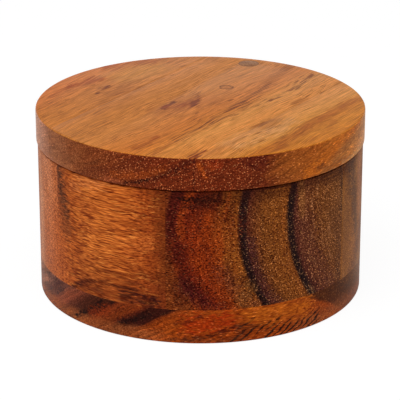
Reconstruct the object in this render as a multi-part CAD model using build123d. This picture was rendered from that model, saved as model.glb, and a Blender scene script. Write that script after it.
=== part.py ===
from build123d import *

import os
from math import cos, radians, sin

# Round box of glued-up wooden strips, with a disc lid that swings sideways on one upright pivot.
# Units are millimetres and degrees. +Z is up, -Y is the front and +X is to the right.
# The origin is on the box's axis, at the level that its underside stands on.
# An azimuth is measured round the axis from the front, positive to the right.

# Outside
lid_diameter = 120.0
lid_thickness = 12.0
lid_overhang = 0.5  # how far the lid stands out past the box all round
lid_gap = 0.4  # running gap between the rim and the lid
wall_height = 43.8
base_thickness = 12.8

# Bowl
wall_thickness = 12.0
floor_thickness = 8.0
floor_corner_radius = 4.5

# Eased edges: small flats outside, a round edge at the bowl's mouth
lid_edge_flat = 0.5
rim_edge_flat = 0.4
foot_edge_flat = 0.8
mouth_edge_radius = 0.8

# Glued strips. Each layer's strips lie side by side across one azimuth, and are counted from that side.
lid_strip_azimuth = 57.0
lid_first_strip_depth = 29.3  # the first strip, measured in from the lid's edge
lid_strip_width = 60.1  # the full strip next to it
wall_strip_azimuth = -35.0
wall_first_strip_depth = 4.9
wall_strip_width = 57.6
base_strip_azimuth = 16.0
base_first_strip_depth = 58.0

# Pivot, placed over the middle of the wall
pivot_azimuth = 159.6
plug_diameter = 8.0
plug_length = 4.0
head_diameter = 7.0
head_height = 2.8
head_edge_radius = 0.4
hex_across_flats = 2.5
hex_depth = 1.6
screw_diameter = 4.0
screw_length = 16.0
screw_tip_chamfer = 0.5
head_washer_diameter = 7.5
head_washer_thickness = 0.5
sleeve_diameter = 6.0
spacer_diameter = 9.0
spacer_thickness = 0.8
insert_diameter = 6.0
insert_length = 10.0
insert_rib_depth = 0.5
insert_rib_pitch = 1.6
insert_rib_width = 0.8
screw_hole_relief = 1.5  # depth of the hole past the screw's tip

# Magnets, opposite the pivot
magnet_diameter = 8.0
magnet_thickness = 3.0
magnet_edge_radius = 0.3
magnet_recess = 0.1  # how far each magnet's face lies below the wood

# Fits
glue_clearance = 0.025  # round a piece that is glued into its hole
running_clearance = 0.05  # between the sleeve and the lid
thread_clearance = 0.05  # round the screw in the sleeve and the insert
head_clearance = 0.3  # between the screw's head and the plug
lift_play = 0.15  # between the head washer and its seat in the lid
spacer_play = 0.05  # between the spacer washer and the lid
spacer_side_clearance = 0.1  # round the spacer washer in its recess

# Levels and radii that follow
lid_radius = lid_diameter / 2
box_radius = lid_radius - lid_overhang
bowl_radius = box_radius - wall_thickness
rim_level = base_thickness + wall_height
lid_bottom = rim_level + lid_gap
lid_top = lid_bottom + lid_thickness
plug_bottom = lid_top - plug_length
head_top = plug_bottom - head_clearance
head_bottom = head_top - head_height
washer_bottom = head_bottom - head_washer_thickness
lid_seat = washer_bottom - lift_play
spacer_recess = spacer_thickness + spacer_play - lid_gap
insert_top = rim_level - spacer_recess
insert_bottom = insert_top - insert_length
screw_tip = head_bottom - screw_length
screw_hole_bottom = min(screw_tip, insert_bottom) - screw_hole_relief
pivot_radius = box_radius - wall_thickness / 2


def around(radius, azimuth):
    """Point at a radius and azimuth about the box's axis."""
    return radius * sin(radians(azimuth)), -radius * cos(radians(azimuth))


pivot_x, pivot_y = around(pivot_radius, pivot_azimuth)
magnet_x, magnet_y = around(pivot_radius, pivot_azimuth + 180)


def rod(radius, bottom, top, x=0.0, y=0.0):
    """Upright cylinder between two levels."""
    return Pos(x, y, (bottom + top) / 2) * Cylinder(radius, top - bottom)


def tube(outer_radius, inner_radius, bottom, top, x, y):
    """Upright tube between two levels."""
    return rod(outer_radius, bottom, top, x, y) - rod(inner_radius, bottom, top, x, y)


def circles_at(solid, level, radius):
    """Round edges of a solid at one level and radius."""
    edges = solid.edges().filter_by(GeomType.CIRCLE)
    return edges.filter_by(
        lambda edge: abs(edge.center(CenterOf.BOUNDING_BOX).Z - level) < 1e-4
        and abs(edge.radius - radius) < 1e-4
    )


def strip(solid, azimuth, inner, outer):
    """Part of a solid between two upright planes, at distances from the axis towards an azimuth."""
    reach = 2 * lid_diameter
    height = 2 * lid_top
    slab = Pos((inner + outer) / 2, 0, 0) * Box(outer - inner, reach, height)
    return solid & (Rot(0, 0, azimuth - 90) * slab)


def strips(solid, azimuth, radius, *widths):
    """Strips of a layer from the side at the azimuth: one of each width, then the rest."""
    limits = [radius]
    for width in widths:
        limits.append(limits[-1] - width)
    limits[0] = lid_diameter
    limits.append(-lid_diameter)
    return [strip(solid, azimuth, inner, outer) for outer, inner in zip(limits, limits[1:])]


def make_lid():
    """Whole lid, with its pivot bore and magnet pocket."""
    lid = rod(lid_radius, lid_bottom, lid_top)
    lid = chamfer(circles_at(lid, lid_top, lid_radius) + circles_at(lid, lid_bottom, lid_radius), lid_edge_flat)
    lid -= rod(plug_diameter / 2, lid_seat, lid_top, pivot_x, pivot_y)
    lid -= rod(sleeve_diameter / 2 + running_clearance, lid_bottom, lid_seat, pivot_x, pivot_y)
    pocket_top = lid_bottom + magnet_recess + magnet_thickness + glue_clearance
    return lid - rod(magnet_diameter / 2 + glue_clearance, lid_bottom, pocket_top, magnet_x, magnet_y)


def make_bowl_space():
    """The space inside the bowl, with its rounded floor corner and eased mouth."""
    space = rod(bowl_radius, floor_thickness, rim_level)
    return fillet(circles_at(space, floor_thickness, bowl_radius), floor_corner_radius)


def make_box():
    """Whole box, wall and base in one, with its pivot hole and magnet pocket."""
    box = rod(box_radius, 0, rim_level) - make_bowl_space()
    box = fillet(circles_at(box, rim_level, bowl_radius), mouth_edge_radius)
    box = chamfer(circles_at(box, rim_level, box_radius), rim_edge_flat)
    box = chamfer(circles_at(box, 0, box_radius), foot_edge_flat)
    box -= rod(spacer_diameter / 2 + spacer_side_clearance, insert_top, rim_level, pivot_x, pivot_y)
    box -= rod(insert_diameter / 2 + glue_clearance, insert_bottom, insert_top, pivot_x, pivot_y)
    box -= rod(screw_diameter / 2, screw_hole_bottom, insert_bottom, pivot_x, pivot_y)
    pocket_bottom = rim_level - magnet_recess - magnet_thickness - glue_clearance
    return box - rod(magnet_diameter / 2 + glue_clearance, pocket_bottom, rim_level, magnet_x, magnet_y)


def layer(solid, bottom, top):
    """Part of a solid between two levels."""
    reach = 2 * lid_diameter
    return solid & (Pos(0, 0, (bottom + top) / 2) * Box(reach, reach, top - bottom))


def make_plug():
    """Wooden plug over the screw, with its grain across the lid."""
    return rod(plug_diameter / 2 - glue_clearance, plug_bottom, lid_top, pivot_x, pivot_y)


def make_screw():
    """Low-head cap screw with a hexagon socket and a chamfered tip."""
    shank_radius = screw_diameter / 2 - thread_clearance
    shank = rod(shank_radius, screw_tip, head_bottom, pivot_x, pivot_y)
    shank = chamfer(circles_at(shank, screw_tip, shank_radius), screw_tip_chamfer)
    head = rod(head_diameter / 2, head_bottom, head_top, pivot_x, pivot_y)
    head = fillet(circles_at(head, head_top, head_diameter / 2), head_edge_radius)
    corner_radius = hex_across_flats / 2 / cos(radians(30))
    socket = extrude(RegularPolygon(corner_radius, 6), amount=hex_depth)
    return head + shank - Pos(pivot_x, pivot_y, head_top - hex_depth) * socket


def make_insert():
    """Threaded insert: a ribbed tube that the screw goes into."""
    core_radius = insert_diameter / 2 - insert_rib_depth
    bore_radius = screw_diameter / 2
    insert = tube(core_radius, bore_radius, insert_bottom, insert_top, pivot_x, pivot_y)
    rib_count = int((insert_length - insert_rib_width) / insert_rib_pitch) + 1
    for index in range(rib_count):
        rib_top = insert_top - index * insert_rib_pitch
        insert += tube(insert_diameter / 2, bore_radius, rib_top - insert_rib_width, rib_top, pivot_x, pivot_y)
    return insert


def make_magnet(bottom):
    """Disc magnet with rounded edges."""
    radius = magnet_diameter / 2
    disc = rod(radius, bottom, bottom + magnet_thickness, magnet_x, magnet_y)
    return fillet(disc.edges().filter_by(GeomType.CIRCLE), magnet_edge_radius)


def make_parts():
    """Every piece by its name."""
    lid = strips(make_lid(), lid_strip_azimuth, lid_radius, lid_first_strip_depth, lid_strip_width)
    box = make_box()
    wall = strips(
        layer(box, base_thickness, rim_level),
        wall_strip_azimuth,
        box_radius,
        wall_first_strip_depth,
        wall_strip_width,
    )
    base = strips(
        layer(box, 0, base_thickness),
        base_strip_azimuth,
        box_radius,
        base_first_strip_depth,
    )
    sleeve_bore = screw_diameter / 2
    return {
        "lid_board_right": lid[0],
        "lid_board_middle": lid[1],
        "lid_board_left": lid[2],
        "wall_board_front": wall[0],
        "wall_board_middle": wall[1],
        "wall_board_right": wall[2],
        "base_board_front": base[0],
        "base_board_back": base[1],
        "lid_plug": make_plug(),
        "pivot_screw": make_screw(),
        "head_washer": tube(
            head_washer_diameter / 2, sleeve_bore, washer_bottom, head_bottom, pivot_x, pivot_y
        ),
        "pivot_sleeve": tube(sleeve_diameter / 2, sleeve_bore, insert_top, washer_bottom, pivot_x, pivot_y),
        "spacer_washer": tube(
            spacer_diameter / 2,
            sleeve_diameter / 2 + spacer_side_clearance,
            insert_top,
            insert_top + spacer_thickness,
            pivot_x,
            pivot_y,
        ),
        "threaded_insert": make_insert(),
        "lid_magnet": make_magnet(lid_bottom + magnet_recess),
        "box_magnet": make_magnet(rim_level - magnet_recess - magnet_thickness),
    }


os.makedirs("parts", exist_ok=True)
for name, piece in make_parts().items():
    export_step(piece, f"parts/{name}.step")
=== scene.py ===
"""Looks of a round wooden salt box with a swivel lid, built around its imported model.

Sizes are metres in the modelling classes. The wood finishes work in millimetres, which suit the width of a
growth ring or a pore. An azimuth is in degrees round the box's axis from the front, positive to the right.
"""

import logging
import math
from collections.abc import Callable, Iterator, Sequence
from contextlib import contextmanager
from dataclasses import dataclass, replace
from enum import Enum

import bmesh
import bpy
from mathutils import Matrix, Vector

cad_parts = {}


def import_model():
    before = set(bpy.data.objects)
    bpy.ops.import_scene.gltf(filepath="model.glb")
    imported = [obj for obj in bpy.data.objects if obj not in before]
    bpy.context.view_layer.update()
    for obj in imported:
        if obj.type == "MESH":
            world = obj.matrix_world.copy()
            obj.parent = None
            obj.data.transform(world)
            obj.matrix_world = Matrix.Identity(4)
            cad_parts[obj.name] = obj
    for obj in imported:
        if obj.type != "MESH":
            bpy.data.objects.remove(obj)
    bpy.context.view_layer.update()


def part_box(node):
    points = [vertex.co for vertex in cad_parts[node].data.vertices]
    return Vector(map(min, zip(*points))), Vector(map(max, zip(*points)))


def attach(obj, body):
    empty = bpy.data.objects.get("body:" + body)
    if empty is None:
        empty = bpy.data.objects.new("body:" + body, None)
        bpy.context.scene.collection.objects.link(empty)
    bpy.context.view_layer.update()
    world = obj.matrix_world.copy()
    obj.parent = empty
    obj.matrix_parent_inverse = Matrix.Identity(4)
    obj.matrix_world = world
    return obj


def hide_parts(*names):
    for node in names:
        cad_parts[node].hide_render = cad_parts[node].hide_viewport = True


log = logging.getLogger("salt_box")

MM = 0.001
OIL_IOR = 1.1  # a thin oil finish: next to no gloss face on, a pale sheen at a grazing angle
SIDE_RADIUS = 60  # millimetres: the side is unrolled at this radius
SIDE_FROM = 59.2 * MM  # faces of the lid past this radius belong to its side
SIDE_NORMALS = (-0.97, 0.6)  # and so do those whose upward lean lies between these two
CUT_TOLERANCE = 1e-7
LEVEL_TOLERANCE = 0.02 * MM
RADIUS_TOLERANCE = 0.05 * MM
NEAR = 0.01 * MM  # places closer than this count as the same
WELD = 0.001 * MM  # corners closer than this become one
WHITE = (1, 1, 1, 1)
Material = bpy.types.Material
Piece = bpy.types.Object
Point = tuple[float, float]
Points = Sequence[Point]
Rgb = tuple[float, float, float]  # as the eye reads it, 0 to 255 a channel
Stops = Sequence[tuple[float, float, float, float]]  # each a reading, and the colour there as an Rgb


def tone(red: float, green: float, blue: float) -> tuple[float, ...]:
    """Turns a colour as the eye reads it into the renderer's linear numbers, with an alpha of 1."""
    channels = [value / 255 for value in (red, green, blue)]
    return *(c / 12.92 if c <= 0.04045 else ((c + 0.055) / 1.055) ** 2.4 for c in channels), 1


def toward(azimuth: float) -> Point:
    """Gives the level direction, as x and y, that points from the axis towards an azimuth."""
    return math.sin(math.radians(azimuth)), -math.cos(math.radians(azimuth))


def unroll(azimuth: float, z: float) -> Point:
    """Gives the place on the unrolled side, as millimetres round it and up it, of an azimuth and a height."""
    return math.radians(azimuth) * SIDE_RADIUS, z


# Shader values and the class that writes node trees


def arithmetic(operation: str, swapped: bool = False) -> Callable:
    """Makes an arithmetic method of Value, with its terms swapped where a plain number stands on the left.

    Args:
        operation: The Math node's operation.
        swapped: True for the method that Python calls with the plain number on the left.

    Returns:
        The method.
    """

    def apply(value: "Value", other: "Operand") -> "Value":
        """Adds the node of the operation."""
        return value.paint.maths(operation, *((other, value) if swapped else (value, other)))

    return apply


class Value:
    """A number, vector or shader that a tree works out, held as one socket; operators on it add the nodes."""

    __add__, __radd__ = arithmetic("ADD"), arithmetic("ADD", True)
    __sub__, __rsub__ = arithmetic("SUBTRACT"), arithmetic("SUBTRACT", True)
    __mul__, __rmul__ = arithmetic("MULTIPLY"), arithmetic("MULTIPLY", True)
    __pow__ = arithmetic("POWER")
    at_most, at_least = arithmetic("MINIMUM"), arithmetic("MAXIMUM")

    def __init__(self, paint: "Paint", socket: bpy.types.NodeSocket) -> None:
        """Keeps the socket and the tree it belongs to."""
        self.paint = paint
        self.socket = socket

    def __truediv__(self, number: float) -> "Value":
        """Quotient by a plain number."""
        return self * (1 / number)

    def __abs__(self) -> "Value":
        """Distance from zero."""
        return self.paint.maths("ABSOLUTE", self)

    def rises(self, low: float, high: float) -> "Value":
        """Climbs smoothly from 0 to 1 between two readings of this value, or falls if low is above high."""
        return self.paint.value("MapRange", (self, low, high), interpolation_type="SMOOTHSTEP")

    def within(self, low: float, high: float, fade: float) -> "Value":
        """Is 1 between two readings of this value and fades to 0 outside them."""
        return self.rises(low - fade, low + fade) * self.rises(high + fade, high - fade)


Operand = Value | float | Sequence[float]


def span(first: Value, second: Value) -> Value:
    """Length of a line from its reaches in two directions at right angles."""
    return (first * first + second * second) ** 0.5


class Paint:
    """Writes the node tree of one material or of the world."""

    def __init__(self, owner: Material | bpy.types.World) -> None:
        """Empties the owner's tree and gives it an output.

        Args:
            owner: The material or the world.
        """
        owner.use_nodes = True
        self.owner, self.tree = owner, owner.node_tree
        self.tree.nodes.clear()
        self.output = self.tree.nodes.new(f"ShaderNodeOutput{type(owner).__name__}")

    @classmethod
    def named(cls, name: str) -> "Paint":
        """Starts a new material."""
        return cls(bpy.data.materials.new(name))

    def node(self, kind: str, inputs: dict | Sequence = (), **settings: str | bool) -> bpy.types.Node:
        """Adds a node.

        Args:
            kind: The node's type, without its prefix.
            inputs: Values or links of its sockets, in order, or by name or number.
            settings: Its own settings, by name.

        Returns:
            The node.
        """
        made = self.tree.nodes.new(f"ShaderNode{kind}")
        for key, setting in settings.items():
            setattr(made, key, setting)
        for key, given in inputs.items() if isinstance(inputs, dict) else enumerate(inputs):
            if isinstance(given, Value):
                self.tree.links.new(given.socket, made.inputs[key])
            else:
                made.inputs[key].default_value = given
        return made

    def value(
        self, kind: str, inputs: dict | Sequence = (), output: int | str = 0, **settings: str | bool
    ) -> Value:
        """Adds a node and wraps one of its outputs."""
        return Value(self, self.node(kind, inputs, **settings).outputs[output])

    def outputs(self, kind: str, names: Sequence[str], inputs: Sequence = ()) -> list[Value]:
        """Adds a node and wraps several of its outputs."""
        made = self.node(kind, inputs)
        return [Value(self, made.outputs[name]) for name in names]

    def maths(self, operation: str, *terms: Operand) -> Value:
        """Adds a Math node, or a Vector Math node where a term is a vector or a colour.

        Args:
            operation: The node's operation.
            terms: What it works on.

        Returns:
            The result.
        """
        kind = "Math"
        if any(isinstance(term, Value) and term.socket.type != "VALUE" for term in terms):
            kind = "VectorMath"
            terms = [(term,) * 3 if isinstance(term, (int, float)) else term for term in terms]
        return self.value(kind, terms, operation=operation)

    def measure(self, operation: str, first: Operand, second: Operand) -> Value:
        """Adds a Vector Math node that gives a number, such as a dot product or a distance."""
        return self.value("VectorMath", (first, second), "Value", operation=operation)

    def vector(self, x: Operand, y: Operand, z: Operand = 0) -> Value:
        """Puts three numbers together as a vector."""
        return self.value("CombineXYZ", (x, y, z))

    def split(self, vector: Value) -> list[Value]:
        """Takes a vector's three numbers apart."""
        return self.outputs("SeparateXYZ", "XYZ", (vector,))

    def place(self) -> Value:
        """Gives the place on the piece, in millimetres."""
        return self.value("TexCoord", output="Object") / MM

    def noise(
        self, place: Value, detail: float = 2, roughness: float = 0.5, scale: float = 1, colour: bool = False
    ) -> Value:
        """Adds smooth noise that averages 0.5.

        Args:
            place: Where it is read.
            detail: How many finer layers it has.
            roughness: How strong the finer layers are.
            scale: Lumps for each unit of the place.
            colour: True for three separate noises as a colour.

        Returns:
            The noise.
        """
        inputs = {"Vector": place, "Scale": scale, "Detail": detail, "Roughness": roughness}
        return self.value("TexNoise", inputs, "Color" if colour else "Fac")

    def pushed(self, place: Value, reach: float, scale: float) -> Value:
        """The place, pushed about by up to a reach so that what is drawn there has no ruled lines."""
        return place + (self.noise(place, scale=scale, colour=True) - 0.5) * (2 * reach)

    def mix(self, share: Operand, first: Value | Rgb, second: Value | Rgb) -> Value:
        """Blends two colours by a share of the second."""
        low, high = (given if isinstance(given, Value) else tone(*given) for given in (first, second))
        return self.value("Mix", {0: share, 6: low, 7: high}, 2, data_type="RGBA")

    def ramp(self, share: Value, stops: Stops) -> Value:
        """Colours a reading by its stops, from the lowest to the highest.

        Args:
            share: The reading.
            stops: The stops.

        Returns:
            The colour.
        """
        low, span = stops[0][0], stops[-1][0] - stops[0][0]
        made = self.node("ValToRGB", ((share - low) / span,))
        elements = made.color_ramp.elements
        while len(elements) < len(stops):
            elements.new(1)
        for element, (place, *colour) in zip(elements, stops):
            element.position = (place - low) / span
            element.color = tone(*colour)
        return Value(self, made.outputs["Color"])

    def distance_to(self, place: Value, points: Points) -> Value:
        """Distance from a place on a face to a line through points.

        Args:
            place: The place.
            points: The line's corners.

        Returns:
            The distance.
        """
        gaps = []
        for (x1, y1), (x2, y2) in zip(points, points[1:]):
            run = (x2 - x1, y2 - y1, 0)
            from_start = place - (x1, y1, 0)
            reach = self.measure("DOT_PRODUCT", from_start, run)
            per_run = 1 / (run[0] ** 2 + run[1] ** 2)
            share = self.value("Math", (reach, per_run), operation="MULTIPLY", use_clamp=True)
            foot = self.value("VectorMath", {0: run, "Scale": share}, operation="SCALE")
            gap = self.measure("DISTANCE", from_start, foot)
            gaps.append(gaps[-1].at_most(gap) if gaps else gap)
        return gaps[-1]

    def surface(
        self, colour: Value, roughness: Value, height: Value, relief: float, **fixed: float
    ) -> Material:
        """Closes the tree with a surface shader.

        Args:
            colour: Base colour.
            roughness: Roughness.
            height: Relief of the surface, 0 to 1.
            relief: Height in metres that 1 stands for.
            fixed: Shader sockets that are the same all over, by name.

        Returns:
            The material.
        """
        normal = self.value("Bump", {"Height": height, "Distance": relief})
        inputs = {"Base Color": colour, "Roughness": roughness, "Normal": normal} | fixed
        return self.close(self.value("BsdfPrincipled", inputs))

    def blend(self, share: Value, first: Value, second: Value) -> Material | bpy.types.World:
        """Closes the tree with two shaders, blended by a share of the second."""
        return self.close(self.value("MixShader", (share, first, second)))

    def close(self, shader: Value) -> Material | bpy.types.World:
        """Links a shader to the output and gives the owner."""
        self.tree.links.new(shader.socket, self.output.inputs[0])
        return self.owner


# How the wood lies


@dataclass(frozen=True)
class Mark:
    """A mark on the wood that follows a line, such as a dark pore or the edge of a knot.

    Points are millimetres on the lid's flat face, and azimuths and heights on a side. The mark is full to its
    half width and fades over the fade.
    """

    points: tuple[Point, ...]
    half_width: float
    fade: float
    colour: Rgb
    strength: float
    broken: float = 0.3


Marks = Sequence[Mark]


@dataclass(frozen=True)
class Board:
    """How a layer's strips of wood lie: the azimuth that they lie side by side across."""

    across_azimuth: float
    seed: float

    def readings(self, paint: Paint) -> "WoodReadings":
        """Adds the nodes that read a place in the layer's own directions.

        Args:
            paint: The tree that the nodes go into.

        Returns:
            The readings.
        """
        x, y, z = paint.split(paint.place())
        across_x, across_y = toward(self.across_azimuth)
        along_x, along_y = toward(self.across_azimuth + 90)
        across = x * across_x + y * across_y
        along = x * along_x + y * along_y
        azimuth = paint.maths("ARCTAN2", x, y * -1) * math.degrees(1)
        straight = WoodReadings(paint, x, y, z, across, along, azimuth, self.seed, across)
        return replace(straight, fibre=across + straight.sway())


@dataclass(frozen=True)
class WoodReadings:
    """A place in the wood, in millimetres and degrees, and the grain that depends on it."""

    paint: Paint
    x: Value
    y: Value
    z: Value
    across: Value
    along: Value
    azimuth: Value
    seed: float
    fibre: Value

    def sway(self) -> Value:
        """How far the fibres swing sideways, so that they don't run ruler straight."""
        place = self.paint.vector(self.across / 28, self.along / 38 + self.seed)
        return (self.paint.noise(place, 1) - 0.5) * 7

    def cell(self, width: float, length: float) -> Value:
        """The place counted in lumps of a width across the fibres and a length along them."""
        along = self.along / length + self.seed
        return self.paint.vector(self.fibre / width, self.z / width, along)

    def grain(self, width: float, length: float, detail: float = 2, roughness: float = 0.5) -> Value:
        """Noise in lumps of a width across the fibres and a length along them."""
        return self.paint.noise(self.cell(width, length), detail, roughness)

    def uneven(
        self, span: float, width: float, length: float, detail: float = 2, roughness: float = 0.5
    ) -> Value:
        """The grain's noise about 0, stretched over a span."""
        return (self.grain(width, length, detail, roughness) - 0.5) * span

    def open_pores(self, spacing: float, length: float) -> Value:
        """Pores at a spacing across the fibres: dots on end grain and dashes of a length along the fibres."""
        inputs = {"Vector": self.cell(spacing, length), "Scale": 1}
        return self.paint.value("TexVoronoi", inputs, "Distance").rises(0.34, 0.14)

    @property
    def radius(self) -> Value:
        """Distance from the box's axis."""
        return span(self.x, self.y)

    @property
    def arc(self) -> Value:
        """Millimetres round the unrolled side."""
        return self.azimuth * (math.radians(1) * SIDE_RADIUS)

    def ring(self, pith: Point, wander: Value) -> Value:
        """Radius of the growth ring through a place, about a pith given across the fibres and in height."""
        return span(self.across - pith[0], self.z - pith[1]) + wander

    def level(self, width: float, height: float) -> Value:
        """Noise in level streaks round the side, of a width in degrees and a height."""
        return self.paint.noise(self.paint.vector(self.azimuth * width, self.z / height), 1)

    def flow(self, ring: Value, width: float, length: float, detail: float = 1) -> Value:
        """Noise in streaks that follow the growth rings round the side, about 0."""
        place = self.paint.vector(ring / width, (self.z - self.arc) / length, self.seed)
        return self.paint.noise(place, detail) - 0.5

    def unrolled(self, wobble: float) -> Value:
        """The place on the unrolled side, pushed about a little."""
        return self.paint.pushed(self.paint.vector(self.arc, self.z), wobble, 0.45)

    def slanted(self, side: Value, lean: float, width: float, length: float) -> Value:
        """Noise in lumps that lean on the unrolled side.

        Args:
            side: The place on the unrolled side.
            lean: Degrees that the lumps climb to the right.
            width: Their width in millimetres.
            length: Their length in millimetres.

        Returns:
            The noise.
        """
        rise = (math.cos(math.radians(lean)), math.sin(math.radians(lean)), 0)
        along = self.paint.measure("DOT_PRODUCT", side, rise)
        across = self.paint.measure("DOT_PRODUCT", side, (-rise[1], rise[0], 0))
        return self.paint.noise(self.paint.vector(along / length, across / width, self.seed))

    def marked(
        self, colour: Value, place: Value, marks: Marks, width: float = 0.8, spread: float = 0.12
    ) -> Value:
        """Draws marks over a colour.

        Args:
            colour: What they are drawn over.
            place: The place on the face, in millimetres.
            marks: The marks, the last on top.
            width: Width of the lumps that break the marks up.
            spread: How softly the lumps end.

        Returns:
            The colour with the marks.
        """
        breaks = self.grain(width, 7, 2).rises(0.5 - spread, 0.5 + spread)
        for mark in marks:
            gap = self.paint.distance_to(place, mark.points) + (breaks - 0.5) * (mark.fade * 0.9)
            share = gap.rises(mark.half_width + mark.fade, mark.half_width - 0.3 * mark.fade) * mark.strength
            if mark.broken:
                share = share * (1 - mark.broken * breaks)
            colour = self.paint.mix(share, colour, mark.colour)
        return colour

    def marked_side(
        self, colour: Value, side: Value, marks: Marks, width: float = 0.8, spread: float = 0.12
    ) -> Value:
        """Draws marks whose points are azimuths and heights over the colour of a side."""
        flat = [replace(mark, points=tuple(unroll(*point) for point in mark.points)) for mark in marks]
        return self.marked(colour, side, flat, width, spread)


# Wood finishes


@dataclass(frozen=True)
class WoodFinish:
    """What the wood finishes share: pores, streaks and a satin oiled surface."""

    name: str = "wood"
    pore_contrast: float = 2.6
    pore_width: float = 0.42
    pore_length: float = 2.2
    streak_contrast: float = 0.7
    broad_contrast: float = 0.25
    glint: Rgb = (222, 158, 100)
    glint_share: float = 0.3
    glint_gain: float = 3.5
    pit_spacing: float = 0.66
    roughness: float = 0.42
    relief: float = 0.05 * MM
    tint_shift: Sequence[float] = (0.85, 1.1, 1.2)
    # colour of the lid's painted shadow on the wall
    handled_tint: Rgb = (52, 16, 8)
    bands: Stops = ()
    marks: Marks = ()

    def colour(self, wood: WoodReadings) -> Value:
        """Colour of the bare wood before its pores are added."""
        raise NotImplementedError

    def under_lid(self, wood: WoodReadings, colour: Value) -> Value:
        """Paints the lid's shadow on the wall: darkens and reddens the strip just under the lid, in level
        streaks on the front and right and in an even band at the rim.

        Args:
            wood: The place in the wood.
            colour: The colour so far.

        Returns:
            The darkened colour.
        """
        # painted shadow of the lid: level streaks of shade from 50.5 mm up on the front and right, and an
        # even band of shade at the rim
        streaks = wood.level(0.07, 0.9) * 1.5 - 0.35
        dark = wood.z.rises(50.5, 54) * wood.azimuth.within(-6, 70, 8) * streaks
        return wood.paint.mix(dark + wood.z.rises(55, 56.4) * 0.2, colour, self.handled_tint)

    def pores(self, wood: WoodReadings) -> Value:
        """Fine light and dark all over, about 0."""
        return wood.uneven(self.pore_contrast, self.pore_width, self.pore_length, 1, 0.6)

    def glints(self, wood: WoodReadings) -> Value | float:
        """How strongly the pale dots of open pores show."""
        return self.glint_share

    def build(self, board: Board) -> Material:
        """Makes the material for boards that lie as the board says.

        Args:
            board: How the wood lies.

        Returns:
            The material.
        """
        paint = Paint.named(self.name)
        wood = board.readings(paint)
        pores = self.pores(wood)
        streaks = wood.grain(1.9, 55, 3)
        broad = wood.uneven(self.broad_contrast, 8, 100)
        shade = pores + (streaks - 0.5) * self.streak_contrast + broad
        tint = paint.vector(*((1 + shade * share).at_least(0.15) for share in self.tint_shift))
        colour = self.colour(wood) * tint
        dots = wood.open_pores(self.pit_spacing, 3)
        lit = dots * wood.grain(0.9, 6, 0).rises(0.32, 0.5) * self.glints(wood)
        colour = paint.mix(lit * 0.5, colour * (1 + lit * self.glint_gain), self.glint)
        roughness = self.roughness + (streaks - 0.5) * 0.2 + pores * 0.05
        height = pores * 0.15 + streaks * 0.3 - dots * 0.2 + 0.4
        return paint.surface(colour, roughness, height, self.relief, IOR=OIL_IOR)


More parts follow.
